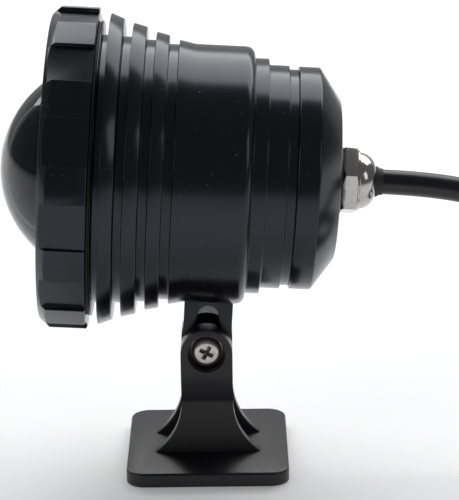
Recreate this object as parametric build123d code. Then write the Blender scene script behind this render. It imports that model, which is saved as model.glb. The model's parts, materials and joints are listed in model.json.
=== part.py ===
from build123d import *
import os
from math import cos, pi, radians, sin, sqrt, tan

# Underwater pond light on a two-ear bracket, with its cable. Millimetres, +Z up, the lens faces -X.
# The origin is the centre of the foot plate's bottom face.
# The lamp is turned about its own axis: a station is the distance along that axis from the lug's
# centre plane, negative towards the lens.

# Bracket
plate_width, plate_depth, plate_thickness, plate_corner = 46.0, 50.0, 4.0, 5.5
plate_edge_round = 0.7
pivot_height = 34.3
ear_radius = 7.35
ear_inner, ear_outer = 4.7, 11.1  # the head's inner and outer faces, either side of Y = 0
arm_inner, arm_outer = 5.75, 8.8
head_slope_top, head_slope_bottom = 27.6, 19.3  # heights between which the outer face slopes in
neck_slope_top, neck_slope_bottom = 24.0, 20.0  # and the inner face slopes out
flare_top, flare_reach = 19.0, 15.9
counterbore_radius, counterbore_depth = 5.35, 4.9
nut_pocket_flats, nut_pocket_depth = 7.2, 3.8

# Pivot hardware, M4
screw_radius, screw_head_radius, screw_head_height = 1.98, 4.05, 2.7
screw_end = 10.2
pivot_hole_radius = 2.1
cross_turn, cross_length, cross_width, cross_depth = 27.0, 4.6, 1.0, 1.6
washer_radius, washer_thickness = 4.6, 0.7
nut_flats, nut_height = 7.0, 3.0
bush_radius, bush_bore = 2.95, 2.05

# Lamp placing
axis_rise = 50.0  # lamp axis above the pivot
rest_tilt = 3.5  # degrees, lens up
lug_width, lug_thickness, slot_width, slot_travel = 13.8, 8.9, 6.0, 9.45
lug_screw_offset, lug_screw_radius, lug_screw_bottom = 5.0, 1.25, 6.5
lug_screw_seat = 20.8  # height of the screw heads' seat above the pivot

# Housing, from the front
neck_front, neck_radius = -38.6, 38.3
flange_front, flange_back, flange_radius = -33.1, -32.6, 41.3
first_groove_radius = 37.4
ribs = [  # front station, rear station, front radius, rear radius, radius of the groove behind
    (-30.7, -26.9, 43.5, 42.0, 37.2),
    (-24.4, -20.5, 41.1, 40.1, 36.6),
    (-17.9, -14.2, 38.9, 38.1, 35.7),
]
rib_edge = 0.45
cone_front, cone_front_radius, cone_back = -11.5, 37.1, -6.9
main_radius, main_back, main_edge_round = 36.05, 9.7, 2.5
step_a_radius, step_a_back = 32.9, 13.6
step_b_radius, step_b_back = 31.2, 19.3
step_c_radius, housing_back = 30.2, 21.9
lens_pocket_radius, lens_seal_seat = 32.7, -34.2
front_bore, ledge_front, ledge_back, ledge_bore = 30.5, -18.0, -14.0, 23.5
middle_bore, middle_bore_back, rear_bore = 28.5, 9.0, 27.0

# Bezel
bezel_front, bezel_back, bezel_radius, recess_radius = -46.8, -33.8, 45.0, 43.8
bezel_chamfer_back, bezel_chamfer_radius = -44.4, 42.6
lobe_count, lobe_half_angle, lobe_phase = 12, 6.65, 9.0
opening_front_radius, opening_back_radius, bezel_shoulder = 25.4, 29.1, -39.4
bezel_bore = 38.6

# Lens
lens_tip, lens_sphere, lens_flange_front, lens_back, lens_radius = -60.0, 30.2, -38.2, -35.2, 32.4

# Rear cap and gland
cap_radius, cap_chamfer_front, cap_back, cap_face_radius = 31.1, 27.9, 34.1, 22.2
spigot_radius, spigot_front, cap_cavity, cap_wall_front = 26.85, 12.0, 23.0, 28.0
ring_seal_station, ring_seal_radius, ring_groove_radius = 16.2, 0.88, 25.2
gland_hole, shank_radius, shank_front = 6.05, 5.95, 24.0
gland_washer_back, gland_washer_radius = 35.5, 9.3
hex_back, hex_corner, hex_chamfer_radius = 39.6, 10.0, 8.9
collar_back, collar_radius = 40.3, 8.5
dome_back, dome_radius, dome_mouth = 44.8, 7.9, 4.6
bush_lip_back, sleeve_back = 45.8, 47.0
cable_radius = 3.5
wire_bore = 3.6

# Inside
heat_plate_front, heat_plate_radius = -21.5, 30.3
pad_front, board_front, emitter_front, phosphor_front = -21.8, -23.4, -24.8, -25.4
board_radius, emitter_size, phosphor_radius = 23.0, 20.0, 9.0
driver_front, driver_back, driver_radius = -4.0, -2.4, 21.5
led_wire_radius, led_wire_height = 0.8, -17.0
core_radius = 1.0

# Cable: its route is worked out below from the gland
coil_centre = (159.5, 18.35)
coil_turn_radii = (41.0, 34.0)  # the bottom layer; the top layer lies between them
coil_bottom, coil_height = 1.0, 12.4
tie_width, tie_thickness = 8.0, 0.95
landing_heading = -20.0  # degrees in plan, where the cable reaches the coil

os.makedirs("parts", exist_ok=True)
at_pivot = Location((0, 0, pivot_height)) * Rotation(0, rest_tilt, 0)
at_lamp = at_pivot * Location((0, 0, axis_rise))


def keep(name, shape):
    """Writes one sub-part; its solids go in as they are."""
    shape.label = name
    export_step(shape, f"parts/{name}.step")


def lathe(points):
    """A solid turned about the X axis, from an outline of (station, radius) points."""
    return revolve(Plane.XZ * make_face(Polyline(*points, close=True).edges()), Axis.X)


def ring(front, back, inner, outer):
    """A plain ring or disc about the X axis."""
    return lathe([(front, inner), (back, inner), (back, outer), (front, outer)])


def rod(front, back, radius, y=0.0, z=0.0):
    """A round bar along X, beside the lamp axis."""
    bar = Cylinder(radius, back - front, rotation=(0, 90, 0))
    return Pos((front + back) / 2, y, z) * bar


def rod_y(front, back, radius):
    """A round bar along Y through the origin's axis."""
    bar = Cylinder(radius, back - front, rotation=(90, 0, 0))
    return Pos(0, (front + back) / 2, 0) * bar


def polar(radius, degrees):
    """The (y, z) place at that elevation above -Y, about the lamp axis."""
    return -radius * cos(radians(degrees)), radius * sin(radians(degrees))


def hex_bar(front, back, corner):
    """A hexagonal bar along X."""
    face = Plane.YZ * RegularPolygon(corner, 6, rotation=38.0)
    return Pos(front, 0, 0) * extrude(face, back - front)


# ---- bracket -------------------------------------------------------------


def make_plate():
    """The square foot with rounded corners."""
    foot = Box(plate_width, plate_depth, plate_thickness)
    foot = fillet(foot.edges().filter_by(Axis.Z), plate_corner)
    top = foot.edges().group_by(Axis.Z)[-1]
    return Pos(0, 0, plate_thickness / 2) * fillet(top, plate_edge_round)


def make_ear(side):
    """One arm with its round head and its two concave flares; side is -1 near, +1 far."""
    foot_level = plate_thickness - 0.5
    rise = flare_top - foot_level
    out = flare_reach - ear_radius
    curve = (out**2 + rise**2) / (2 * out)
    middle = radians(0.5 * 59.4)
    bend = (ear_radius + curve - curve * cos(middle), flare_top - curve * sin(middle))
    outline = [
        Line((-flare_reach, foot_level), (flare_reach, foot_level)),
        ThreePointArc((flare_reach, foot_level), bend, (ear_radius, flare_top)),
        Line((ear_radius, flare_top), (ear_radius, pivot_height)),
        ThreePointArc(
            (ear_radius, pivot_height), (0, pivot_height + ear_radius), (-ear_radius, pivot_height)
        ),
        Line((-ear_radius, pivot_height), (-ear_radius, flare_top)),
        ThreePointArc((-ear_radius, flare_top), (-bend[0], bend[1]), (-flare_reach, foot_level)),
    ]
    front_view = extrude(Plane.XZ * make_face(outline), ear_outer + 1, both=True)
    top = pivot_height + ear_radius + 1
    side_points = [
        (ear_inner, top), (ear_inner, neck_slope_top), (arm_inner, neck_slope_bottom),
        (arm_inner, foot_level), (arm_outer, foot_level), (arm_outer, head_slope_bottom),
        (ear_outer, head_slope_top), (ear_outer, top),
    ]
    side_points = [(side * y, z) for y, z in side_points]
    side_face = Plane.YZ * make_face(Polyline(*side_points, close=True).edges())
    return front_view & extrude(side_face, flare_reach + 1, both=True)


def make_bracket():
    """Foot and both arms in one moulding, bored for the screw and its nut."""
    body = make_plate() + make_ear(-1) + make_ear(1)
    hole = rod_y(-20, 20, pivot_hole_radius)
    recess = rod_y(-20, -ear_outer + counterbore_depth, counterbore_radius)
    pocket_face = Plane.XZ * RegularPolygon(nut_pocket_flats / sqrt(3), 6)
    pocket = Pos(0, 20, 0) * extrude(pocket_face, 20 - ear_outer + nut_pocket_depth)
    return body - Pos(0, 0, pivot_height) * (hole + recess + pocket)


def make_pivot_screw():
    """Pan head screw with a cross recess, along Y."""
    head_back = -ear_outer + counterbore_depth - washer_thickness
    head_front = head_back - screw_head_height
    head = rod_y(head_front, head_back, screw_head_radius)
    rim = head.edges().filter_by(GeomType.CIRCLE).group_by(Axis.Y)[0]
    head = fillet(rim, 1.3)
    slot = Box(cross_length, 2 * cross_depth, cross_width)
    cross = Rotation(0, cross_turn, 0) * (slot + Rotation(0, 90, 0) * slot)
    return head + rod_y(head_back, screw_end, screw_radius) - Pos(0, head_front, 0) * cross


def make_pivot_nut():
    """Hexagon nut in the far ear's pocket."""
    back = ear_outer - nut_pocket_depth
    face = Plane.XZ * RegularPolygon(nut_flats / sqrt(3), 6)
    body = Pos(0, back + nut_height, 0) * extrude(face, nut_height)
    return body - rod_y(0, 20, screw_radius + 0.02)


def make_pivot_washer():
    """Flat washer under the screw head."""
    back = -ear_outer + counterbore_depth
    return rod_y(back - washer_thickness, back, washer_radius) - rod_y(-20, 0, bush_bore)


def make_pivot_bush():
    """Sleeve on the screw, which the lug turns on."""
    half = ear_inner - 0.05
    return rod_y(-half, half, bush_radius) - rod_y(-half - 1, half + 1, bush_bore)


at_screw = Pos(0, 0, pivot_height)
keep("bracket_base", make_bracket())
keep("pivot_screw", at_screw * make_pivot_screw())
keep("pivot_nut", at_screw * make_pivot_nut())
keep("pivot_washer", at_screw * make_pivot_washer())
keep("pivot_bush", at_screw * make_pivot_bush())


# ---- lug -----------------------------------------------------------------


def lug_screw_axes():
    """The two screws that hold the lug, beside its slot."""
    return Locations((-lug_screw_offset, 0, 0), (lug_screw_offset, 0, 0))


def upright(bottom, top, radius):
    """A round bar along Z."""
    return Pos(0, 0, (bottom + top) / 2) * Cylinder(radius, top - bottom)


def make_lug():
    """Tongue under the lamp with an upright slot and a saddle that fits the housing."""
    half = lug_width / 2
    tall = 18.0
    face = Circle(half) + Pos(0, tall / 2) * Rectangle(lug_width, tall)
    slot = Pos(0, slot_travel / 2) * SlotCenterToCenter(slot_travel, slot_width, rotation=90)
    tongue = extrude(Plane.XZ * (face - slot), lug_thickness / 2, both=True)
    saddle = Pos(0, 0, axis_rise) * rod(-60, 60, main_radius + 0.01)
    holes = [at * upright(lug_screw_bottom, 30, lug_screw_radius + 0.03) for at in lug_screw_axes()]
    return tongue - saddle - holes


def make_lug_screws():
    """Two screws, put in from inside the housing."""
    one = upright(lug_screw_bottom + 0.2, lug_screw_seat, lug_screw_radius)
    one += upright(lug_screw_seat, lug_screw_seat + 1.6, 2.2)
    return Compound([at * one for at in lug_screw_axes()])


keep("tilt_lug", at_pivot * make_lug())
keep("lug_screws", at_pivot * make_lug_screws())


# ---- housing -------------------------------------------------------------


def rib_outline(front, back, front_radius, back_radius, groove_radius):
    """A cooling rib with eased edges, and the groove behind it."""
    e = rib_edge
    return [
        (front, front_radius - e), (front + e, front_radius), (back - e, back_radius),
        (back, back_radius - e), (back, groove_radius),
    ]


def plate_screw_places(radius, phase):
    """Three places on a circle round the lamp axis."""
    return [polar(radius, phase + 120 * k) for k in range(3)]


def make_housing():
    """The turned body: threaded neck, flange, ribs, cone, cylinder and two rear steps."""
    turn = main_edge_round * (1 - cos(radians(45)))
    outer = [(neck_front, neck_radius - 0.4), (neck_front + 0.4, neck_radius)]
    outer += [(flange_front, neck_radius), (flange_front, flange_radius)]
    outer += [(flange_back, flange_radius), (flange_back, first_groove_radius)]
    before = first_groove_radius
    for rib in ribs:
        outer += [(rib[0], before)] + rib_outline(*rib)
        before = rib[4]
    outer += [(cone_front, before), (cone_front, cone_front_radius - rib_edge)]
    outer += [(cone_front + rib_edge, cone_front_radius - 0.1), (cone_back, main_radius)]
    outer += [(main_back - main_edge_round, main_radius)]
    outer += [(main_back - turn, main_radius - turn), (main_back, main_radius - main_edge_round)]
    outer += [(main_back, step_a_radius), (step_a_back - 0.3, step_a_radius)]
    outer += [(step_a_back, step_a_radius - 0.3), (step_a_back, step_b_radius)]
    outer += [(step_b_back - 0.3, step_b_radius), (step_b_back, step_b_radius - 0.3)]
    outer += [(step_b_back, step_c_radius), (housing_back, step_c_radius)]
    inner = [
        (housing_back, rear_bore), (middle_bore_back, rear_bore), (middle_bore_back, middle_bore),
        (ledge_back, middle_bore), (ledge_back, ledge_bore), (ledge_front, ledge_bore),
        (ledge_front, front_bore), (lens_seal_seat, front_bore),
        (lens_seal_seat, lens_pocket_radius), (neck_front, lens_pocket_radius),
    ]
    body = lathe(outer + inner)
    for y, z in plate_screw_places(26.8, 30):
        body -= rod(ledge_front - 1, ledge_back + 1, 1.3, y, z)
    for at in lug_screw_axes():
        down = Pos(0, 0, -axis_rise) * at
        body -= down * upright(0, 25, lug_screw_radius + 0.03)
        body -= down * upright(lug_screw_seat, 26, 2.4)
    return body


def make_bezel():
    """Ring nut with twelve flat grip lobes and a flared mouth round the lens."""
    corners = []
    for k in range(lobe_count):
        for turn, radius in (
            (-lobe_half_angle, recess_radius), (-lobe_half_angle, bezel_radius),
            (lobe_half_angle, bezel_radius), (lobe_half_angle, recess_radius),
        ):
            corners.append(polar(radius, lobe_phase + 360 / lobe_count * k + turn))
    face = Plane.YZ * make_face(Polyline(*corners, close=True).edges())
    blank = Pos(bezel_front, 0, 0) * extrude(face, bezel_back - bezel_front)
    turned = lathe([
        (bezel_front, opening_front_radius), (bezel_front, bezel_chamfer_radius),
        (bezel_chamfer_back, bezel_radius), (bezel_back - 0.5, bezel_radius),
        (bezel_back, bezel_radius - 0.5), (bezel_back, bezel_bore),
        (bezel_shoulder, bezel_bore), (bezel_shoulder, opening_back_radius),
    ])
    return blank & turned


def make_lens():
    """Thick bull's-eye lens with a flat back and a clamping flange."""
    centre = lens_tip + lens_sphere
    reach = sqrt(lens_sphere**2 - (centre - lens_flange_front) ** 2)
    middle = radians(38.0)
    outline = [
        ThreePointArc(
            (lens_tip, 0),
            (centre - lens_sphere * cos(middle), lens_sphere * sin(middle)),
            (lens_flange_front, reach),
        ),
        Polyline(
            (lens_flange_front, reach), (lens_flange_front, lens_radius),
            (lens_back, lens_radius), (lens_back, 0), (lens_tip, 0),
        ),
    ]
    edges = [e for line in outline for e in line.edges()]
    return revolve(Plane.XZ * make_face(edges), Axis.X)


def make_light_hood():
    """Dark cone round the emitter, on a skirt that stands on the heat plate."""
    front, throat, wall = lens_back + 0.2, phosphor_front + 0.5, 1.2
    rim_outer, rim_inner = 30.3, 29.2
    return lathe([
        (front, rim_outer), (front, 27.8), (throat, 10.2), (throat, 10.2 + wall),
        (front + 1.0, 27.8 + 0.4), (front + 1.0, rim_inner), (heat_plate_front, rim_inner),
        (heat_plate_front, rim_outer),
    ])


keep("housing", at_lamp * make_housing())
keep("bezel_ring", at_lamp * make_bezel())
keep("lens", at_lamp * make_lens())
keep("bezel_seal", at_lamp * ring(bezel_back + 0.2, flange_front, neck_radius + 0.05, 41.0))
keep("slip_gasket", at_lamp * ring(bezel_shoulder + 0.05, lens_flange_front - 0.05, 29.4, 32.4))
keep("lens_seal", at_lamp * ring(lens_back, lens_seal_seat, 30.6, 32.6))
keep("light_hood", at_lamp * make_light_hood())


# ---- light source --------------------------------------------------------


def wire_places():
    """Where the two wires of the light source run."""
    return [(-3.0, led_wire_height), (3.0, led_wire_height)]


def bored(body, places, radius):
    """The body with holes along X at those places."""
    for y, z in places:
        body -= rod(-60, 40, radius, y, z)
    return body


def screws(places, head_front, head_height, head_radius, end, radius, facing=1):
    """Equal screws along X; facing is 1 with the head towards the lens."""
    made = []
    for y, z in places:
        if facing > 0:
            one = rod(head_front, head_front + head_height, head_radius, y, z)
            one += rod(head_front + head_height, end, radius, y, z)
        else:
            one = rod(head_front - head_height, head_front, head_radius, y, z)
            one += rod(end, head_front - head_height, radius, y, z)
        made.append(one)
    return Compound(made)


plate_screws_at = plate_screw_places(26.8, 30)
board_screws_at = plate_screw_places(19.5, 90)
spacers_at = plate_screw_places(17.5, 60)

heat_plate = ring(heat_plate_front, ledge_front, 0, heat_plate_radius)
heat_plate = bored(heat_plate, wire_places(), 1.2)
heat_plate = bored(heat_plate, plate_screws_at, 1.35)
heat_plate = bored(heat_plate, board_screws_at, 1.05)
board_holes = wire_places() + board_screws_at
heat_pad = bored(ring(pad_front, heat_plate_front, 0, 22.5), board_holes, 1.2)
led_board = bored(ring(board_front, pad_front, 0, board_radius), board_holes, 1.2)
emitter = Pos((emitter_front + board_front) / 2, 0, 0) * Box(
    board_front - emitter_front, emitter_size, emitter_size
)
keep("heat_plate", at_lamp * heat_plate)
keep("heat_pad", at_lamp * heat_pad)
keep("led_board", at_lamp * led_board)
keep("led_emitter", at_lamp * emitter)
keep("led_phosphor", at_lamp * ring(phosphor_front, emitter_front, 0, phosphor_radius))
keep("heat_plate_screws", at_lamp * screws(plate_screws_at, -23.1, 1.6, 2.1, -14.6, 1.25))
keep("led_board_screws", at_lamp * screws(board_screws_at, -24.6, 1.2, 1.9, -18.6, 1.0))


# ---- driver --------------------------------------------------------------


def make_driver_board():
    """Round circuit board, bored for its screws and wires."""
    board = ring(driver_front, driver_back, 0, driver_radius)
    return bored(board, spacers_at, 1.2)


def make_spacers():
    """Three posts that carry the driver board behind the heat plate."""
    posts = [rod(ledge_front, driver_front, 2.3, y, z) for y, z in spacers_at]
    holes = [rod(driver_front - 6, driver_front + 1, 1.05, y, z) for y, z in spacers_at]
    return Compound([post - hole for post, hole in zip(posts, holes)])


def make_chips():
    """A rectifier and a switching chip, flat on the board."""
    rectifier = Pos(driver_back + 1.3, 0.5, -11.5) * Box(2.6, 6.5, 5.0)
    switcher = Pos(driver_back + 0.8, -0.5, 12.0) * Box(1.6, 5.0, 4.0)
    return Compound([rectifier, switcher])


capacitors_at = [(-10.5, 4.5), (-10.0, -6.0)]
capacitors = Compound([rod(driver_back, 9.5, 4.0, y, z) for y, z in capacitors_at])
inductor = ring(driver_back, 6.5, 0, 5.7) - ring(-0.9, 5.0, 4.8, 7.0)
keep("driver_board", at_lamp * make_driver_board())
keep("driver_spacers", at_lamp * make_spacers())
driver_screws = screws(spacers_at, -1.0, 1.4, 2.0, driver_front - 5, 1.0, facing=-1)
keep("driver_screws", at_lamp * driver_screws)
keep("driver_inductor", at_lamp * Pos(0, 8.9, 1.0) * inductor)
keep("driver_capacitors", at_lamp * capacitors)
keep("driver_chips", at_lamp * make_chips())
led_wires = Compound([
    rod(board_front - 0.9, driver_front, led_wire_radius, *at) for at in wire_places()
])
keep("led_wires", at_lamp * led_wires)
cable_cores = Compound([rod(driver_back, 20.0, core_radius, side * 1.6, 0) for side in (-1, 1)])
keep("cable_cores", at_lamp * cable_cores)


# ---- rear cap and gland ----------------------------------------------------


def make_cap():
    """Rear cap with a threaded spigot, a ring groove and a wide outer chamfer."""
    e = 0.5
    body = lathe([
        (spigot_front, cap_cavity), (spigot_front, spigot_radius),
        (ring_seal_station - 1.2, spigot_radius), (ring_seal_station - 1.2, ring_groove_radius),
        (ring_seal_station + 1.2, ring_groove_radius), (ring_seal_station + 1.2, spigot_radius),
        (housing_back, spigot_radius), (housing_back, cap_radius - 0.3),
        (housing_back + 0.3, cap_radius), (cap_chamfer_front - e, cap_radius),
        (cap_chamfer_front + 0.6 * e, cap_radius - 0.9 * e),
        (cap_back - 0.6 * e, cap_face_radius + 0.9 * e), (cap_back, cap_face_radius - e),
        (cap_back, gland_hole), (cap_wall_front, gland_hole), (cap_wall_front, cap_cavity),
    ])
    return body


def make_ring_seal():
    """Round-section ring between cap and housing."""
    centre = (ring_groove_radius + ring_seal_radius) + 0.02
    return Pos(ring_seal_station, 0, 0) * Rotation(0, 90, 0) * Torus(centre, ring_seal_radius)


def make_gland_body():
    """Threaded shank, hexagon with a chamfer towards the cap, and a short front neck."""
    hexagon = hex_bar(gland_washer_back, hex_back, hex_corner)
    eased = lathe([
        (gland_washer_back, 0), (gland_washer_back, hex_chamfer_radius),
        (gland_washer_back + 0.7, hex_corner + 0.1), (hex_back - 0.3, hex_corner + 0.1),
        (hex_back, hex_corner - 0.3), (hex_back, 0),
    ])
    shank = rod(shank_front, gland_washer_back, shank_radius)
    neck = rod(hex_back, hex_back + 1.2, 6.4)
    return (hexagon & eased) + shank + neck - rod(0, 60, wire_bore)


def make_gland_nut():
    """Domed clamping nut with a thin collar, hollow for the rubber bush."""
    sag = dome_back - collar_back
    outline = [
        Polyline(
            (hex_back + 0.02, 6.5), (hex_back + 0.02, collar_radius), (collar_back, collar_radius),
            (collar_back, dome_radius),
        ),
        ThreePointArc(
            (collar_back, dome_radius), (collar_back + 0.62 * sag, 6.95), (dome_back, dome_mouth)
        ),
        Polyline(
            (dome_back, dome_mouth), (dome_back - 0.6, dome_mouth - 0.2), (dome_back - 1.6, 5.4),
            (hex_back + 1.3, 5.4), (hex_back + 1.3, 6.5), (hex_back + 0.02, 6.5),
        ),
    ]
    edges = [e for line in outline for e in line.edges()]
    return revolve(Plane.XZ * make_face(edges), Axis.X)


def make_gland_bush():
    """Rubber bush squeezed by the domed nut, with a lip and a thin sleeve on the cable."""
    return lathe([
        (hex_back + 1.35, cable_radius + 0.02), (hex_back + 1.35, 5.35), (dome_back - 1.7, 5.35),
        (dome_back - 0.7, 4.35), (dome_back + 0.2, 4.35), (bush_lip_back, 4.1),
        (bush_lip_back, 3.85), (sleeve_back, 3.7), (sleeve_back, cable_radius + 0.02),
    ])


def make_locknut():
    """Hexagon nut inside the cap."""
    return hex_bar(cap_wall_front - 3.4, cap_wall_front, 8.7) - rod(0, 60, shank_radius + 0.02)


gland_washer = ring(cap_back, gland_washer_back, gland_hole, gland_washer_radius)
keep("rear_cap", at_lamp * make_cap())
keep("cap_ring_seal", at_lamp * make_ring_seal())
keep("gland_washer", at_lamp * gland_washer)
keep("gland_body", at_lamp * make_gland_body())
keep("gland_locknut", at_lamp * make_locknut())
keep("gland_nut", at_lamp * make_gland_nut())
keep("gland_bush", at_lamp * make_gland_bush())
keep("cable_inlet", at_lamp * rod(20.0, sleeve_back, cable_radius))


# ---- cable ---------------------------------------------------------------

cable_level = coil_bottom + cable_radius  # height of the cable's centre where it lies flat
exit_point = (at_lamp * Pos(sleeve_back, 0, 0)).position


def coil_place(radius, degrees, height):
    """A point over the coil, by its angle in plan."""
    turn = radians(degrees)
    return Vector(
        coil_centre[0] + radius * cos(turn), coil_centre[1] + radius * sin(turn), height
    )


landing = coil_place(coil_turn_radii[0], landing_heading - 90, cable_level)
landing_way = Vector(cos(radians(landing_heading)), sin(radians(landing_heading)), 0)
exit_way = (at_lamp * Pos(sleeve_back + 1, 0, 0)).position - exit_point
# Leaves the gland along the lamp axis, droops beside the lamp and runs out flat into the coil.
cable_route = [
    exit_point,
    exit_point + exit_way * 21.0,
    Vector(89.3, -2.3, 70.2),
    Vector(101.4, -4.8, 53.2),
    Vector(107.6, -6.6, 32.2),
    Vector(119.1, -10.6, 14.5),
    landing - landing_way * 10.0,
    landing + landing_way * 10.0,
]
# Leaves the coil's top layer over the outer turn and comes down to the plug beside the coil.
plug_heading, plug_level = 57.0, 5.6
plug_way = Vector(cos(radians(plug_heading)), sin(radians(plug_heading)), 0)
tail_corner = coil_place(49.6, -29, plug_level)
boot_start = tail_corner + plug_way * 17.0
tail_route = [
    coil_place(38.4, -100, 10.9),
    coil_place(41.8, -75, 11.4),
    coil_place(45.8, -51, 8.6),
    tail_corner,
    boot_start,
]


def corner_radii(route):
    """The radius of each corner's arc: 0.45 of the shorter run over the tangent of half the turn."""
    radii = []
    for before, here, after in zip(route, route[1:], route[2:]):
        turn = radians((here - before).get_angle(after - here))
        radii.append(0.45 * min((here - before).length, (after - here).length) / tan(turn / 2))
    return radii


def cable_tube(name, route):
    """A round tube along straight runs joined by tangent arcs."""
    radii = corner_radii(route)
    path = FilletPolyline(*route, radius=radii)
    start = Plane(origin=path @ 0, z_dir=path % 0)
    tube = sweep(start * Circle(cable_radius), path=path)
    runs = [(b - a).length for a, b in zip(route, route[1:])]
    print(name, "length", round(path.length, 1), "runs", [round(r, 1) for r in runs])
    print(name, "radii", [round(r, 1) for r in radii])
    print(name, "volume", round(tube.volume))
    print(name, "section times length", round(pi * cable_radius**2 * path.length))
    keep(name, tube)
    return path.length


def make_coil():
    """The closed outer shape of the coiled turns."""
    outer, inner = coil_turn_radii[0] + 3.8, coil_turn_radii[1] - 3.8
    body = Cylinder(outer, coil_height) - Cylinder(inner, coil_height)
    body = chamfer(body.edges().filter_by(GeomType.CIRCLE), 2.0)
    return Pos(*coil_centre, coil_bottom + coil_height / 2) * body


def make_tie():
    """A flat strap round the coiled turns."""
    inner_edge, outer_edge = coil_turn_radii[1] - 4.1, coil_turn_radii[0] + 4.1
    wide, tall = outer_edge - inner_edge, coil_height + 0.1
    outside = Box(wide + 2 * tie_thickness, tie_width, tall + 2 * tie_thickness)
    outside = fillet(outside.edges().filter_by(Axis.Y), 2.2)
    inside = fillet(Box(wide, 2 * tie_width, tall).edges().filter_by(Axis.Y), 1.4)
    place = Pos(*coil_centre, coil_bottom + coil_height / 2) * Rotation(0, 0, 150)
    return place * Pos((inner_edge + outer_edge) / 2, 0, 0) * (outside - inside)


def along_plug(outline):
    """A solid turned about the plug's axis, from (distance from the boot's start, radius) points."""
    place = Plane(origin=boot_start, x_dir=plug_way, z_dir=(0, 0, 1)).location
    return place * lathe(outline)


free_length = cable_tube("cable_tube", cable_route)
tail_length = cable_tube("cable_tail", tail_route)
keep("cable_coil", make_coil())
keep("coil_tie", make_tie())
boot_length, grip_length, barrel_length = 20.0, 22.0, 9.5
grip_end = boot_length + grip_length
barrel_end = grip_end + barrel_length
keep("plug_boot", along_plug([
    (0, 0), (0, 3.9), (boot_length * 0.4, 4.1), (boot_length, 5.0), (boot_length, 0),
]))
keep("plug_grip", along_plug([
    (boot_length, 0), (boot_length, 4.7), (boot_length + 0.9, 5.5), (grip_end - 3.0, 5.5),
    (grip_end - 0.8, 5.1), (grip_end, 4.4), (grip_end, 0),
]))
keep("plug_barrel", along_plug([
    (grip_end, 1.6), (grip_end, 2.75), (barrel_end, 2.75), (barrel_end, 1.6),
]))
keep("plug_insulator", along_plug([
    (grip_end, 1.05), (grip_end, 1.58), (barrel_end + 0.3, 1.58), (barrel_end + 0.3, 1.05),
]))

top_turn = sum(coil_turn_radii) / 2
coiled = 2 * pi * (sum(coil_turn_radii) + top_turn)
print("coiled length", round(coiled), "whole cable", round(free_length + coiled + tail_length))
print("barrel middle", boot_start + plug_way * (grip_end + barrel_length / 2), "way", plug_way)
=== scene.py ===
# %% [markdown]
# # A ribbed pond light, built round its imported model
# A pond light is a turned metal lamp on a small forked foot, with a cable that leaves through a gland.
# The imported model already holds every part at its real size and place. Here each part that shows is
# made again with softer edges and finer detail, and everything gets a finish of its own.
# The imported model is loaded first, because each new piece takes its place from it.

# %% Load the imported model
import json
from math import acos, atan2, cos, degrees, pi, radians, sin, sqrt

import bmesh
import bpy
from mathutils import Matrix, Vector


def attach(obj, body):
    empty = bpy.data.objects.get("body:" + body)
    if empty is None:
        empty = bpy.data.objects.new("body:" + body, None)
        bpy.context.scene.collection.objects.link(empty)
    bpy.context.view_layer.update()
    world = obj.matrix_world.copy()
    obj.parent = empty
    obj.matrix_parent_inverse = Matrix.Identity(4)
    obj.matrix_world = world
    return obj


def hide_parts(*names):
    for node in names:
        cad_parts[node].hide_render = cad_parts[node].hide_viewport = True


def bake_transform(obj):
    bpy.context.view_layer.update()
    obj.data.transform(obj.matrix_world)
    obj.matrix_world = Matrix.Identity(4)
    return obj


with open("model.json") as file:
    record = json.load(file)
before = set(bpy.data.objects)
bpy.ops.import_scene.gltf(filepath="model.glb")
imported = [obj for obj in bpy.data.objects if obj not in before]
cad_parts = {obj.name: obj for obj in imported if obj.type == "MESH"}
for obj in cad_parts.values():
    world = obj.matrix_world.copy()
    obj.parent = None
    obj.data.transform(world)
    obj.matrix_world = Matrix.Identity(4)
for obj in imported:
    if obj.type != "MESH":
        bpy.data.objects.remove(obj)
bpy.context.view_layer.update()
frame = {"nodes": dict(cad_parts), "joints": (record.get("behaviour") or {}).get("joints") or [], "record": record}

MM = 0.001
joints = {joint["name"]: joint for joint in frame["joints"]}
mounts = {mount["name"]: mount for mount in frame["record"]["mounts"]}

# %% [markdown]
# ## The camera
# A product picture of something this small is taken with a long lens from about arm's length, looking
# down a little. A long lens keeps the rims and the ribs nearly straight, while the near edge of the
# foot still looks a little larger than the far one. Turn, tilt and roll are written out as three
# directions, which is easier to check than three angles in the right order. The frame is set slightly
# wide and to the right, so that the cable is in view up to its first bend.

# %% Camera
CAMERA_PLACE = Vector((7.19, -600.0, 249.384)) * MM
CAMERA_DOWN, CAMERA_TURN, CAMERA_ROLL = radians(17.3573), radians(-0.0985), radians(-0.7196)
CAMERA_LENS, CAMERA_FILM, CAMERA_SHIFT = 159.8, 36.0, 0.005
ahead = Vector((
    sin(CAMERA_TURN) * cos(CAMERA_DOWN), cos(CAMERA_TURN) * cos(CAMERA_DOWN), -sin(CAMERA_DOWN)
))
level_right = ahead.cross(Vector((0, 0, 1))).normalized()
level_up = level_right.cross(ahead)
right = level_right * cos(CAMERA_ROLL) + level_up * sin(CAMERA_ROLL)
upward = level_up * cos(CAMERA_ROLL) - level_right * sin(CAMERA_ROLL)
camera_data = bpy.data.cameras.new("camera")
camera_data.lens = CAMERA_LENS
camera_data.sensor_width = CAMERA_FILM
camera_data.shift_x = CAMERA_SHIFT
camera = bpy.data.objects.new("camera", camera_data)
bpy.context.scene.collection.objects.link(camera)
facing = Matrix((right, upward, -ahead)).transposed().to_4x4()
camera.matrix_world = Matrix.Translation(CAMERA_PLACE) @ facing
bpy.context.scene.camera = camera
bpy.context.scene.view_settings.view_transform = "Standard"
print("camera is", round(CAMERA_PLACE.length / MM), "mm from the foot")

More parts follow.
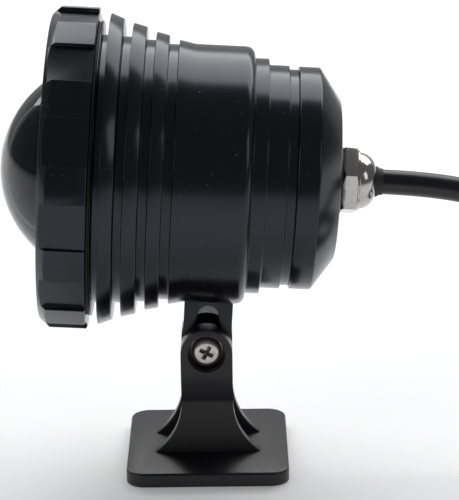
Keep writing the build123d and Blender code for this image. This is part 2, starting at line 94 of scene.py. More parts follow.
# %% [markdown]
# ## The cable's line
# A free cable is one smooth curve. A NURBS spline of order 3 passes close to its control points and
# never kinks, so the droop from the gland needs only a handful of points. The spare length is wound
# into a small coil. Its turns are control points of the same spline: an outer turn on the floor, an
# inner turn beside it, and a top turn in the groove between them. A loop places them from a short list
# of how far out and how high the cable is at each angle.

# %% Control points of the cable
CABLE_RADIUS, CABLE_ORDER, CABLE_FINENESS, TUBE_FINENESS = 3.5, 3, 12, 7
COIL_CENTRE = (159.5, 18.35)
DROOP = [
    (49.965, 0.0, 81.338), (77.0, 0.0, 79.7), (93.0, -2.3, 68.5), (102.5, -4.8, 51.5),
    (107.6, -6.6, 32.2), (119.3, -10.6, 13.9), (134.2, -16.1, 6.0), (149.0, -21.5, 4.5),
]
TURNS = [  # angle in degrees, distance from the coil's centre, height
    (-86, 41.2, 4.5), (-60, 41.0, 4.5), (150, 41.0, 4.5), (175, 40.6, 4.5), (192, 39.4, 4.5),
    (208, 37.4, 4.5), (224, 35.2, 4.5), (240, 34.2, 4.5), (495, 34.0, 4.5), (512, 33.6, 6.2),
    (530, 32.8, 8.6), (548, 32.2, 10.4), (566, 32.0, 11.3), (584, 32.3, 11.6), (602, 33.2, 11.6),
    (622, 35.0, 11.6), (642, 36.8, 11.2), (660, 37.5, 10.8), (848, 37.5, 10.8), (865, 38.7, 11.5),
    (885, 39.5, 12.0), (905, 39.7, 12.5), (920, 39.5, 13.0), (935, 39.6, 13.6), (950, 40.2, 13.6),
    (968, 42.0, 12.9), (993, 44.6, 12.2),
]
TURN_STEPS = 60
TAIL = [(46.6, -68, 10.6), (48.6, -48, 7.4), (49.6, -29, 5.6)]  # distance, angle, height


def over_coil(distance, angle, height):
    """A point by its distance and angle from the coil's centre, in millimetres."""
    turn = radians(angle)
    return (COIL_CENTRE[0] + distance * cos(turn), COIL_CENTRE[1] + distance * sin(turn), height)


def along_turns(angle):
    """How far out and how high the cable lies at that angle."""
    for before, after in zip(TURNS, TURNS[1:]):
        if angle <= after[0]:
            share = (angle - before[0]) / (after[0] - before[0])
            return tuple(b + (a - b) * share for b, a in zip(before[1:], after[1:]))
    return TURNS[-1][1:]


plug = mounts["plug_barrel"]
plug_way = Vector(plug["axis"]).normalized()
BOOT_TO_BARREL = 46.75 * MM
boot_start = Vector(plug["pos_m"]) - plug_way * BOOT_TO_BARREL
first_angle, last_angle = TURNS[0][0], TURNS[-1][0]
turn_step = (last_angle - first_angle) / TURN_STEPS
control = list(DROOP)
for k in range(TURN_STEPS + 1):
    angle = first_angle + k * turn_step
    distance, height = along_turns(angle)
    control.append(over_coil(distance / cos(radians(turn_step / 2)), angle, height))
control += [over_coil(*place) for place in TAIL]
control = [Vector(point) * MM for point in control] + [boot_start]
print("control points", len(control), "of them", round(360 / turn_step), "in each turn of the coil")

# %% The cable as a tube
line_data = bpy.data.curves.new("cable", "CURVE")
line_data.dimensions = "3D"
spline = line_data.splines.new("NURBS")
spline.points.add(len(control) - 1)
for point, place in zip(spline.points, control):
    point.co = (*place, 1.0)
spline.order_u = CABLE_ORDER
spline.use_endpoint_u = True
spline.resolution_u = CABLE_FINENESS
cable = bpy.data.objects.new("cable", line_data)
bpy.context.scene.collection.objects.link(cable)
bpy.context.view_layer.update()
line_mesh = bpy.data.meshes.new_from_object(cable)
cable_path = [vertex.co.copy() for vertex in line_mesh.vertices]
cable_length = sum((b - a).length for a, b in zip(cable_path, cable_path[1:]))
line_data.bevel_depth = CABLE_RADIUS * MM
line_data.bevel_resolution = TUBE_FINENESS
line_data.use_fill_caps = True
bpy.ops.object.select_all(action="DESELECT")
cable.select_set(True)
bpy.context.view_layer.objects.active = cable
bpy.ops.object.convert(target="MESH")
cable = bpy.context.object
print("cable length", round(cable_length, 3), "m, points on its line", len(cable_path))

# %% [markdown]
# ## Picking
# Every step below works on what is selected, so three small functions do the picking. One selects
# whole pieces, one names a new primitive, and one chooses the points, edges or faces that pass a test.
# Choosing by a test, and never by number, keeps working when the outline changes.


# %% Functions that select
def only(*pieces):
    """Selects just these pieces; the last one is active."""
    bpy.ops.object.select_all(action="DESELECT")
    for piece in pieces:
        piece.select_set(True)
    bpy.context.view_layer.objects.active = pieces[-1]


def started(name):
    """Names the primitive just added and bakes its place into its mesh."""
    piece = bpy.context.object
    piece.name = name
    only(piece)
    bpy.ops.object.transform_apply(location=True, rotation=True, scale=True)
    return piece


def choose(piece, kind, test):
    """In edit mode, selects the vertices, edges or faces that pass a test."""
    bpy.ops.mesh.select_mode(type={"verts": "VERT", "edges": "EDGE", "faces": "FACE"}[kind])
    bpy.ops.mesh.select_all(action="DESELECT")
    cage = bmesh.from_edit_mesh(piece.data)
    for item in getattr(cage, kind):
        if test(item):
            item.select_set(True)
    bmesh.update_edit_mesh(piece.data)


# %% [markdown]
# ## Floor and light
# A white sweep, curved up behind the object, gives a plain pale ground with no edge. One large soft
# box, above and behind, lights it evenly. The black metal shows mostly reflections: the soft box gives
# the bright band along the top, the white floor brightens the lower half, and the dim room between
# them leaves the middle dark. That is why the surroundings stay much darker than the floor. Two small
# boxes in front pick out the ribs, the lens and the gland.

# %% Sweep, soft boxes and surroundings
FLOOR_GAP = 0.0002
SWEEP_NEAR, SWEEP_FAR, SWEEP_SIDE, SWEEP_HEIGHT, SWEEP_CURVE = -2.6, 2.6, 3.2, 2.2, 0.5
EDGE_SLACK = 0.01
SOFT_BOXES = [  # name, place, the point it faces, width, depth, watts
    ("box_large", (0.05, 0.72, 1.05), (0.05, 0, 0.05), 2.4, 1.1, 23),
    ("box_lens_side", (-0.75, -0.45, 0.42), (-0.03, 0, 0.09), 0.35, 0.5, 0.9),
    ("box_gland_side", (0.7, -0.5, 0.5), (0.04, 0, 0.08), 0.3, 0.4, 0.5),
]
ROOM_COLOUR, ROOM_STRENGTH = (0.93, 0.95, 1.0, 1), 0.14
bpy.ops.object.select_all(action="DESELECT")
bpy.ops.mesh.primitive_plane_add(size=1.0, location=(0, 0, 0))
sweep = bpy.context.object
sweep.name = "sweep"
bpy.ops.object.mode_set(mode="EDIT")
bpy.ops.transform.resize(value=(2 * SWEEP_SIDE, SWEEP_FAR - SWEEP_NEAR, 1), center_override=(0, 0, 0))
bpy.ops.transform.translate(value=(0, (SWEEP_FAR + SWEEP_NEAR) / 2, -FLOOR_GAP))
choose(sweep, "edges", lambda edge: all(vertex.co.y > SWEEP_FAR - EDGE_SLACK for vertex in edge.verts))
bpy.ops.mesh.extrude_region_move(TRANSFORM_OT_translate={"value": (0, 0, SWEEP_HEIGHT)})
choose(
    sweep, "edges",
    lambda edge: all(v.co.y > SWEEP_FAR - EDGE_SLACK and v.co.z < EDGE_SLACK for v in edge.verts),
)
bpy.ops.mesh.bevel(offset=SWEEP_CURVE, segments=16)
bpy.ops.object.mode_set(mode="OBJECT")
bpy.ops.object.shade_smooth()


def soft_box(name, place, aim, width, depth, power):
    """A rectangular soft light at a place, facing a point."""
    light = bpy.data.lights.new(name, "AREA")
    light.shape = "RECTANGLE"
    light.size, light.size_y = width, depth
    light.energy = power
    holder = bpy.data.objects.new(name, light)
    bpy.context.scene.collection.objects.link(holder)
    holder.location = place
    holder.rotation_euler = (Vector(aim) - Vector(place)).to_track_quat("-Z", "Y").to_euler()


for row in SOFT_BOXES:
    soft_box(*row)
room = bpy.data.worlds.new("room")
bpy.context.scene.world = room
room.use_nodes = True
background = room.node_tree.nodes["Background"]
background.inputs["Color"].default_value = ROOM_COLOUR
background.inputs["Strength"].default_value = ROOM_STRENGTH
print("soft boxes", len(SOFT_BOXES))

# %% [markdown]
# ## Arithmetic for finishes
# A finish is a small graph of nodes. Written node by node it is hard to read, so one class wraps a
# socket and gives it the signs + - * /, each of which adds the Math node that it stands for. Every
# other node comes from one method, which takes the node's type, its settings and what its sockets hold.


# %% A socket that can be added and multiplied
class Wire:
    """One output socket of a finish."""

    def __init__(self, finish, socket):
        self.finish, self.socket = finish, socket

    def __add__(self, other):
        return self.finish.maths("ADD", self, other)

    def __sub__(self, other):
        return self.finish.maths("SUBTRACT", self, other)

    def __rsub__(self, other):
        return self.finish.maths("SUBTRACT", other, self)

    def __mul__(self, other):
        return self.finish.maths("MULTIPLY", self, other)

    def __truediv__(self, other):
        return self.finish.maths("DIVIDE", self, other)

    __radd__ = __add__
    __rmul__ = __mul__


NOISE_ROUGH = 0.55


class Finish:
    """A material under construction."""

    def __init__(self, name):
        self.material = bpy.data.materials.new(name)
        self.material.use_nodes = True
        self.tree = self.material.node_tree
        self.tree.nodes.clear()

    def node(self, kind, settings, inputs, *outs):
        """Adds a node: its settings first, then what its sockets hold. Gives the outputs asked for."""
        made = self.tree.nodes.new("ShaderNode" + kind)
        for key, value in settings.items():
            setattr(made, key, value)
        for key, value in inputs.items():
            self.feed(value, made.inputs[key])
        wires = [Wire(self, made.outputs[out]) for out in outs]
        return wires[0] if len(wires) == 1 else wires

    def feed(self, value, socket):
        """Links a wire to a socket, or sets the socket's own value."""
        if isinstance(value, Wire):
            self.tree.links.new(value.socket, socket)
        elif socket.type == "RGBA" and len(value) == 3:
            socket.default_value = (*value, 1.0)
        else:
            socket.default_value = value

    def maths(self, operation, first, second):
        """One Math node."""
        return self.node("Math", {"operation": operation}, {0: first, 1: second}, 0)

    def places(self):
        """The surface's own coordinates, in metres."""
        return self.node("TexCoord", {}, {}, "Object")

    def noise(self, places, size, detail=3.0):
        """Cloudy noise from 0 to 1, its patches about that many millimetres wide."""
        inputs = {"Vector": places, "Scale": 1 / (size * MM), "Detail": detail, "Roughness": NOISE_ROUGH}
        return self.node("TexNoise", {"noise_dimensions": "3D"}, inputs, 0)

    def lines(self, along, size):
        """Noise that changes only along one coordinate, as tool marks do."""
        inputs = {"W": along / (size * MM), "Scale": 1.0, "Detail": 2.0}
        return self.node("TexNoise", {"noise_dimensions": "1D"}, inputs, 0)

    def step(self, value, low, high):
        """0 below low, 1 above high, smooth between."""
        inputs = {"Value": value, "From Min": low, "From Max": high}
        return self.node("MapRange", {"interpolation_type": "SMOOTHSTEP"}, inputs, 0)

    def mix(self, share, first, second):
        """From the first colour to the second."""
        return self.node("Mix", {"data_type": "RGBA"}, {0: share, 6: first, 7: second}, 2)

    def split(self, places):
        """The three coordinates, one by one."""
        return self.node("SeparateXYZ", {}, {0: places}, 0, 1, 2)

    def bump(self, height, depth):
        """A bumped normal from a height of 0 to 1, that many millimetres deep."""
        return self.node("Bump", {}, {"Height": height, "Distance": depth * MM, "Strength": 1.0}, 0)

    def surface(self, inputs):
        """Ends the graph in a Principled shader."""
        self.node("OutputMaterial", {}, {"Surface": self.node("BsdfPrincipled", {}, inputs, 0)})
        return self.material


# %% [markdown]
# ## Places on the lamp
# The lamp is turned, so its finishes and its pieces are described along its own axis: a station is the
# distance from the lug's middle, negative towards the lens. The record holds that axis as the way the
# bezel unscrews. A tongue below the lamp turns with it about the pivot screw.

# %% Frames of the lamp, the lug, the screw and the plug
lens_way = Vector(joints["bezel_lift"]["axis"]).normalized()
lamp_place = Vector(joints["bezel_turn"]["pos_m"])
pivot_place = Vector(joints["tilt"]["pos_m"])
rear_way = -lens_way
across = Vector((0, 1, 0))
lamp_up = rear_way.cross(across)


def frame_at(place, x_way, y_way, z_way):
    """The matrix that carries a piece made at the origin to its place."""
    return Matrix.Translation(place) @ Matrix((x_way, y_way, z_way)).transposed().to_4x4()


AT_LAMP = frame_at(lamp_place, rear_way, across, lamp_up)
AT_PIVOT = frame_at(pivot_place, rear_way, across, lamp_up)
AT_SCREW = frame_at(pivot_place, across, Vector((0, 0, 1)), Vector((1, 0, 0)))
plug_side = Vector((0, 0, 1)).cross(plug_way)
AT_PLUG = frame_at(boot_start, plug_way, plug_side, Vector((0, 0, 1)))
lamp_tilt = atan2(-rear_way.z, rear_way.x)
print("lamp looks up by", round(degrees(lamp_tilt), 2), "degrees")

# %% [markdown]
# ## Finish: black anodised metal
# Anodising leaves aluminium satin, with the marks of the turning tool still faintly there. So the
# roughness and a very shallow bump follow fine lines round the lamp's axis, over a grain too small to
# see singly. Slow cloudy patches keep large areas from looking computed, and a few pale specks of dust
# lie on it.


# %% Black anodised metal
def lamp_stations(finish):
    """The coordinate along the lamp's axis, and the places in the lamp's own directions."""
    settings = {"vector_type": "TEXTURE"}
    inputs = {"Vector": finish.places(), "Location": tuple(lamp_place), "Rotation": (0, lamp_tilt, 0)}
    local = finish.node("Mapping", settings, inputs, 0)
    return finish.split(local)[0], local


def anodised(name, dark, pale, roughness):
    finish = Finish(name)
    station, local = lamp_stations(finish)
    marks = finish.lines(station, 0.22)
    grain = finish.noise(local, 0.25, 2.0)
    clouds = finish.noise(local, 14.0)
    dust = finish.step(finish.noise(local, 0.9, 1.0), 0.74, 0.80)
    tone = finish.mix(clouds, dark, pale)
    return finish.surface({
        "Base Color": finish.mix(dust * 0.35, tone, (0.16, 0.16, 0.17)),
        "Roughness": (marks - 0.5) * 0.05 + (clouds - 0.5) * 0.08 + (dust * 0.2 + roughness),
        "Normal": finish.bump(marks * 0.6 + grain * 0.4, 0.0018),
        "Specular IOR Level": 0.55,
        "Specular Tint": (0.84, 0.86, 1.0, 1.0),
    })


black_metal = anodised("black_anodised", (0.0022, 0.0023, 0.0034), (0.0040, 0.0041, 0.0060), 0.20)
lug_metal = anodised("black_lug", (0.0024, 0.0024, 0.0034), (0.0045, 0.0045, 0.0062), 0.30)

# %% [markdown]
# ## Finish: moulded and rubber parts
# The foot is moulded plastic with a spark-eroded grain, which scatters a broad grey sheen at a low
# angle. Rubber is blacker and softer. Both are two tones of noise, a roughness that wanders and a bump
# at the size of the grain, so one function makes them all with different numbers.


# %% Moulded plastics, rubbers and boards
def moulded(name, dark, pale, roughness, grain_size, grain_depth, patch=9.0, **constants):
    finish = Finish(name)
    places = finish.places()
    grain = finish.noise(places, grain_size, 2.0)
    patches = finish.noise(places, patch)
    inputs = {
        "Base Color": finish.mix(patches * 0.7 + grain * 0.3, dark, pale),
        "Roughness": (patches - 0.5) * 0.14 + (grain - 0.5) * 0.12 + roughness,
        "Normal": finish.bump(grain, grain_depth),
    }
    inputs.update({key.replace("_", " "): value for key, value in constants.items()})
    return finish.surface(inputs)


foot_plastic = moulded("foot_plastic", (0.004, 0.004, 0.0055), (0.008, 0.008, 0.010), 0.34, 0.35, 0.02)
cable_rubber = moulded("cable_rubber", (0.004, 0.004, 0.005), (0.008, 0.008, 0.010), 0.30, 0.5, 0.012)
seal_rubber = moulded("seal_rubber", (0.012, 0.012, 0.012), (0.022, 0.022, 0.023), 0.62, 0.4, 0.02)
dark_plastic = moulded("dark_plastic", (0.006, 0.007, 0.014), (0.011, 0.012, 0.022), 0.38, 0.4, 0.01)
plug_plastic = moulded("plug_plastic", (0.012, 0.012, 0.013), (0.020, 0.020, 0.022), 0.45, 0.4, 0.02)
strap_fabric = moulded("strap_fabric", (0.010, 0.010, 0.011), (0.026, 0.026, 0.028), 0.80, 0.3, 0.06)
grey_pad = moulded("grey_pad", (0.36, 0.38, 0.41), (0.46, 0.48, 0.51), 0.7, 0.6, 0.02)
white_board = moulded("white_board", (0.68, 0.69, 0.66), (0.78, 0.79, 0.76), 0.35, 1.2, 0.01)
green_board = moulded("green_board", (0.010, 0.10, 0.035), (0.020, 0.16, 0.06), 0.32, 1.6, 0.02)
emitter_ceramic = moulded("emitter_ceramic", (0.74, 0.74, 0.70), (0.82, 0.82, 0.79), 0.5, 0.3, 0.01)
phosphor_gel = moulded("phosphor_gel", (0.80, 0.55, 0.06), (0.88, 0.66, 0.10), 0.3, 0.5, 0.02)
ferrite_black = moulded("ferrite_black", (0.03, 0.03, 0.031), (0.05, 0.05, 0.052), 0.6, 0.4, 0.03)
blue_sleeve = moulded("capacitor_sleeve", (0.012, 0.02, 0.09), (0.018, 0.03, 0.12), 0.3, 2.0, 0.005)
chip_black = moulded("chip_black", (0.014, 0.014, 0.014), (0.024, 0.024, 0.024), 0.55, 0.25, 0.01)
wire_red = moulded("wire_red", (0.33, 0.012, 0.010), (0.42, 0.022, 0.018), 0.42, 0.5, 0.01)

# %% [markdown]
# ## Finish: bright metals
# Polished nickel on the gland mirrors the room, so it needs only slight waviness and a few pits. The
# pivot screw is plainer stainless, with brown grime caught in its cross recess: a mask that grows with
# depth below the head's face paints it there and nowhere else.


# %% Nickel, stainless, aluminium, brass and the pivot screw
def bright(name, dark, pale, roughness, grain_size, grain_depth, pits=0.0):
    finish = Finish(name)
    places = finish.places()
    grain = finish.noise(places, grain_size, 3.0)
    patches = finish.noise(places, 5.0)
    pit = finish.step(finish.noise(places, 0.35, 1.0), 0.66, 0.72) * pits
    return finish.surface({
        "Base Color": finish.mix(pit, finish.mix(patches, dark, pale), (0.10, 0.09, 0.08)),
        "Roughness": (patches - 0.5) * 0.08 + (pit * 0.3 + roughness),
        "Normal": finish.bump(grain - pit * 0.5, grain_depth),
        "Metallic": 1.0,
    })


nickel = bright("nickel", (0.46, 0.44, 0.42), (0.56, 0.54, 0.51), 0.15, 1.4, 0.010, pits=0.55)
stainless = bright("stainless", (0.48, 0.47, 0.45), (0.60, 0.59, 0.56), 0.28, 0.4, 0.006)
bare_aluminium = bright("bare_aluminium", (0.55, 0.56, 0.57), (0.68, 0.69, 0.70), 0.36, 0.5, 0.008)
brass = bright("brass", (0.58, 0.40, 0.14), (0.70, 0.50, 0.20), 0.30, 0.5, 0.006)

SCREW_FACE = -9.6  # millimetres from the lamp's middle plane, along Y
screw_finish = Finish("pivot_screw_steel")
screw_places = screw_finish.places()
screw_depth = screw_finish.split(screw_places)[1] / MM - SCREW_FACE
grime = screw_finish.step(screw_depth, 0.15, 0.9) * (1 - screw_finish.step(screw_depth, 1.9, 2.2))
grime = grime * screw_finish.step(screw_finish.noise(screw_places, 0.8), 0.25, 0.55)
screw_patches = screw_finish.noise(screw_places, 2.0)
screw_tone = screw_finish.mix(screw_patches, (0.50, 0.48, 0.45), (0.66, 0.64, 0.61))
screw_steel = screw_finish.surface({
    "Base Color": screw_finish.mix(grime, screw_tone, (0.10, 0.055, 0.03)),
    "Roughness": grime * 0.35 + (screw_patches * 0.10 + 0.20),
    "Metallic": 1 - grime * 0.8,
    "Normal": screw_finish.bump(screw_finish.noise(screw_places, 0.5), 0.01),
})

# %% [markdown]
# ## Finish: the bull's-eye lens and the floor
# The lens is solid glass, clear enough to show the dark cone behind it. Fingerprints are left out, but
# the polish is not perfect, so the roughness wanders a little above zero. The sweep is matt paper.

# %% Glass and paper
glass_finish = Finish("lens_glass")
glass_smear = glass_finish.noise(glass_finish.places(), 11.0)
lens_glass = glass_finish.surface({
    "Base Color": glass_finish.mix(glass_smear, (0.66, 0.69, 0.86), (0.72, 0.75, 0.91)),
    "Roughness": glass_smear * 0.05 + 0.005,
    "Transmission Weight": 1.0,
    "IOR": 1.5,
})
paper = moulded(
    "paper", (0.86, 0.86, 0.865), (0.90, 0.90, 0.905), 0.85, 4.0, 0.01, patch=900.0,
    Emission_Color=(1.0, 1.0, 1.0), Emission_Strength=0.16,
)
sweep.data.materials.append(paper)
print("finishes", len([m for m in bpy.data.materials if m.use_nodes]))

# %% [markdown]
# ## Tools for turned and carved pieces
# Most of the lamp came off a lathe. The same thing is done here: a circle stands at the first station
# of the outline, and each next point extrudes it along the axis and resizes it to its radius. Holes and
# slots are cut with a Boolean modifier, and a small bevel modifier breaks every sharp edge, because it
# is those edges that catch the light.


# %% Modelling helpers
def closed_up(piece):
    """Merges doubles and points every face outwards."""
    only(piece)
    bpy.ops.object.mode_set(mode="EDIT")
    bpy.ops.mesh.select_all(action="SELECT")
    bpy.ops.mesh.remove_doubles(threshold=0.000002)
    bpy.ops.mesh.normals_make_consistent(inside=False)
    bpy.ops.object.mode_set(mode="OBJECT")


def turned(name, outline, sides=144, solid=False):
    """Turns an outline of (station, radius) points about X; a solid one has caps, another is a ring."""
    station, radius = outline[0]
    bpy.ops.object.select_all(action="DESELECT")
    bpy.ops.mesh.primitive_circle_add(
        vertices=sides, radius=radius * MM, location=(station * MM, 0, 0), rotation=(0, pi / 2, 0)
    )
    piece = started(name)
    bpy.ops.object.mode_set(mode="EDIT")
    bpy.ops.mesh.select_mode(type="EDGE")
    bpy.ops.mesh.select_all(action="SELECT")
    for next_station, next_radius in outline[1:] + ([] if solid else outline[:1]):
        slide = ((next_station - station) * MM, 0, 0)
        bpy.ops.mesh.extrude_region_move(TRANSFORM_OT_translate={"value": slide})
        growth = next_radius / radius
        centre = (next_station * MM, 0, 0)
        bpy.ops.transform.resize(value=(1, growth, growth), center_override=centre)
        station, radius = next_station, next_radius
    if solid:
        bpy.ops.mesh.select_all(action="SELECT")
        bpy.ops.mesh.fill_holes(sides=0)
    bpy.ops.object.mode_set(mode="OBJECT")
    closed_up(piece)
    return piece


def bar(name, radius, front, back, sides=96, turn=0.0):
    """A round or many-sided bar along X."""
    bpy.ops.object.select_all(action="DESELECT")
    bpy.ops.mesh.primitive_cylinder_add(
        vertices=sides, radius=radius * MM, depth=(back - front) * MM,
        location=((front + back) / 2 * MM, 0, 0), rotation=(0, pi / 2, 0),
    )
    piece = started(name)
    if turn:
        piece.rotation_euler = (turn, 0, 0)
        bpy.ops.object.transform_apply(location=False, rotation=True, scale=False)
    return piece


def cut(piece, tool, operation="DIFFERENCE"):
    """Cuts a piece with a tool, or keeps what they share, or joins them; the tool is used up."""
    only(piece)
    modifier = piece.modifiers.new("cut", "BOOLEAN")
    modifier.operation = operation
    modifier.solver = "EXACT"
    modifier.object = tool
    bpy.ops.object.modifier_apply(modifier=modifier.name)
    bpy.data.objects.remove(tool)


def eased(piece, width, segments=2, angle=32.0):
    """Breaks the sharp edges with a bevel that many millimetres wide."""
    only(piece)
    modifier = piece.modifiers.new("ease", "BEVEL")
    modifier.width = width * MM
    modifier.segments = segments
    modifier.limit_method = "ANGLE"
    modifier.angle_limit = radians(angle)
    modifier.use_clamp_overlap = True
    bpy.ops.object.modifier_apply(modifier=modifier.name)


def carried(piece, matrix):
    """Moves a piece to its place and bakes that into its mesh."""
    only(piece)
    piece.matrix_world = matrix
    bpy.ops.object.transform_apply(location=True, rotation=True, scale=True)


def stands_for(piece, body, slot, finish, *nodes, smooth=38.0):
    """Finishes a piece: smooth shading, its material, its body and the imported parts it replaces."""
    only(piece)
    bpy.ops.object.shade_smooth_by_angle(angle=radians(smooth))
    piece.data.materials.clear()
    piece.data.materials.append(finish)
    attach(piece, body)
    if nodes:
        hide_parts(*nodes)
    print(piece.name, len(piece.data.polygons), "faces")


# %% [markdown]
# ## The housing
# The housing is one turning: a short neck for the bezel's thread, three cooling ribs with deep grooves,
# a shallow cone, a plain barrel with a rounded rear edge, and two steps down to the cap. The ribs'
# edges are broken by the bevel, and the barrel's rounded edge gets four points of its own.

# %% Housing
RIBS = [  # front, rear, front radius, rear radius, radius of the groove behind
    (-30.7, -26.9, 43.5, 42.0, 37.2),
    (-24.4, -20.5, 41.1, 40.1, 36.6),
    (-17.9, -14.2, 38.9, 38.1, 35.7),
]
BARREL_RADIUS, BARREL_BACK, BARREL_ROUND = 36.05, 9.7, 2.5
outline = [(-38.6, 37.9), (-38.2, 38.3), (-33.1, 38.3), (-33.1, 41.3), (-32.6, 41.3), (-32.6, 37.4)]
groove = 37.4
for front, back, front_radius, back_radius, behind in RIBS:
    outline += [(front, groove), (front, front_radius), (back, back_radius), (back, behind)]
    groove = behind
outline += [(-11.5, groove), (-11.5, 37.0), (-6.9, BARREL_RADIUS)]
outline.append((BARREL_BACK - BARREL_ROUND, BARREL_RADIUS))
for degree in (22.5, 45.0, 67.5, 90.0):
    turn = radians(degree)
    outline.append((
        BARREL_BACK - BARREL_ROUND * (1 - sin(turn)), BARREL_RADIUS - BARREL_ROUND * (1 - cos(turn))
    ))
outline += [
    (9.7, 32.9), (13.6, 32.9), (13.6, 31.2), (19.3, 31.2), (19.3, 30.2), (21.9, 30.2), (21.9, 27.0),
    (9.0, 27.0), (9.0, 28.5), (-14.0, 28.5), (-14.0, 23.5), (-18.0, 23.5), (-18.0, 30.5), (-34.2, 30.5),
    (-34.2, 32.7), (-38.6, 32.7),
]
housing = turned("housing_turned", outline, sides=160)
eased(housing, 0.32, segments=3)
carried(housing, AT_LAMP)
stands_for(housing, "lamp", "black_anodised", black_metal, "housing")

# %% [markdown]
# ## The bezel
# The bezel is a ring nut with twelve flat grip lobes. A 24-sided bar has the right number of flats, but
# lobes and hollows are not equally wide, so every other pair of corners is turned a little closer
# together. That bar is cut to a turned blank, which gives it the chamfer in front, the flared mouth and
# the bore, and a ring of twelve square cutters then mills the hollows between the lobes.

# %% Bezel
LOBES, LOBE_PHASE, LOBE_HALF = 12, 9.0, 6.65
BEZEL_FRONT, BEZEL_BACK, BEZEL_RADIUS = -46.8, -33.8, 45.0
HOLLOW_DEPTH, CUTTER_HEIGHT = 1.2, 8.0
QUARTER = 360 / LOBES / 4


def round_axis(place):
    """The angle of a place about X in degrees, counted as the lobes are."""
    return degrees(atan2(place.z, -place.y))


def from_lobe(place):
    """How far that place is past the nearest lobe's middle, in degrees."""
    pitch = 360 / LOBES
    return (round_axis(place) - LOBE_PHASE + pitch / 2) % pitch - pitch / 2


bezel = bar("bezel_lobed", BEZEL_RADIUS, BEZEL_FRONT - 1, BEZEL_BACK + 1, sides=2 * LOBES)
bezel.rotation_euler = (radians(from_lobe(bezel.data.vertices[0].co) - QUARTER), 0, 0)
bpy.ops.object.transform_apply(location=False, rotation=True, scale=False)


def picked_corner():
    """How far the first selected corner is past its lobe's middle, in degrees."""
    return from_lobe(next(v for v in bmesh.from_edit_mesh(bezel.data).verts if v.select).co)


bpy.ops.object.mode_set(mode="EDIT")
for side in (1, -1):
    choose(bezel, "verts", lambda vertex: from_lobe(vertex.co) * side > 0)
    before = picked_corner()
    shift = radians(QUARTER - LOBE_HALF) * side
    bpy.ops.transform.rotate(value=shift, orient_axis="X", center_override=(0, 0, 0))
    if abs(picked_corner()) > abs(before):  # it went away from the lobe's middle: turn it back, and past
        bpy.ops.transform.rotate(value=-2 * shift, orient_axis="X", center_override=(0, 0, 0))
bpy.ops.object.mode_set(mode="OBJECT")
closed_up(bezel)
blank = turned("bezel_blank", [
    (BEZEL_FRONT, 25.4), (BEZEL_FRONT, 42.6), (-44.4, 45.0), (-34.3, 45.2), (BEZEL_BACK, 44.5),
    (BEZEL_BACK, 38.6), (-39.4, 38.6), (-39.4, 29.1),
], sides=240)
cut(bezel, blank, "INTERSECT")
hollow_half = radians(2 * QUARTER - LOBE_HALF)
hollow_bottom = (BEZEL_RADIUS - HOLLOW_DEPTH) * cos(hollow_half)
hollow_width = 2 * (BEZEL_RADIUS - HOLLOW_DEPTH / 2) * sin(hollow_half)
hollow_size = (2 * (BEZEL_BACK - BEZEL_FRONT), hollow_width, CUTTER_HEIGHT)
hollow_middle = ((BEZEL_FRONT + BEZEL_BACK) / 2 * MM, 0, (hollow_bottom + CUTTER_HEIGHT / 2) * MM)
hollow_tools = []
for k in range(LOBES):
    bpy.ops.object.select_all(action="DESELECT")
    bpy.ops.mesh.primitive_cube_add(size=MM, location=hollow_middle)
    box = started("hollow_tool")
    bpy.ops.object.mode_set(mode="EDIT")
    bpy.ops.mesh.select_all(action="SELECT")
    bpy.ops.transform.resize(value=hollow_size, center_override=hollow_middle)
    bpy.ops.object.mode_set(mode="OBJECT")
    hollow_turn = LOBE_PHASE + (2 * k + 1) * 2 * QUARTER
    box.rotation_euler = (radians(90 - hollow_turn), 0, 0)
    bpy.ops.object.transform_apply(location=False, rotation=True, scale=False)
    hollow_tools.append(box)
only(*hollow_tools)
bpy.ops.object.join()
cut(bezel, bpy.context.object)
eased(bezel, 0.3, segments=2)
carried(bezel, AT_LAMP)
stands_for(bezel, "bezel", "black_anodised", black_metal, "bezel_ring")
widths = sorted({round(abs(from_lobe(AT_LAMP.inverted() @ v.co)), 1) for v in bezel.data.vertices})
print("lobe corners at", [w for w in widths if 6 < w < 7.2][:4], "degrees")

# %% [markdown]
# ## The lens
# A bull's-eye lens is part of a ball on a flat flange. The ball's outline is worked out as an arc, in
# even steps of angle, so that its facets are equally small from the tip to the flange.

# %% Lens
LENS_TIP, LENS_BALL, LENS_FLANGE, LENS_BACK, LENS_RADIUS = -60.0, 30.2, -38.2, -35.2, 32.4
LENS_STEPS, POLE_RADIUS = 48, 0.3
ball_middle = LENS_TIP + LENS_BALL
last_turn = acos((ball_middle - LENS_FLANGE) / LENS_BALL)
outline = []
for k in range(1, LENS_STEPS + 1):
    turn = last_turn * k / LENS_STEPS
    outline.append((ball_middle - LENS_BALL * cos(turn), LENS_BALL * sin(turn)))
outline += [(LENS_FLANGE, LENS_RADIUS), (LENS_BACK, LENS_RADIUS), (LENS_BACK, POLE_RADIUS)]
outline.insert(0, (LENS_TIP, POLE_RADIUS))
lens = turned("lens_ball", outline, sides=160, solid=True)
eased(lens, 0.15, segments=2, angle=50.0)
carried(lens, AT_LAMP)
stands_for(lens, "lamp", "clear_glass", lens_glass, "lens", smooth=30.0)

# %% [markdown]
# ## Cap, gland and the hood behind the lens
# The rear cap screws into the housing and ends in a wide chamfer. The gland is a nickel-plated hexagon,
# a thin collar and a domed nut that squeezes a rubber bush on the cable. The hexagon is a six-sided bar
# cut to a turned blank, which rounds its corners towards the cap as a lathe would.

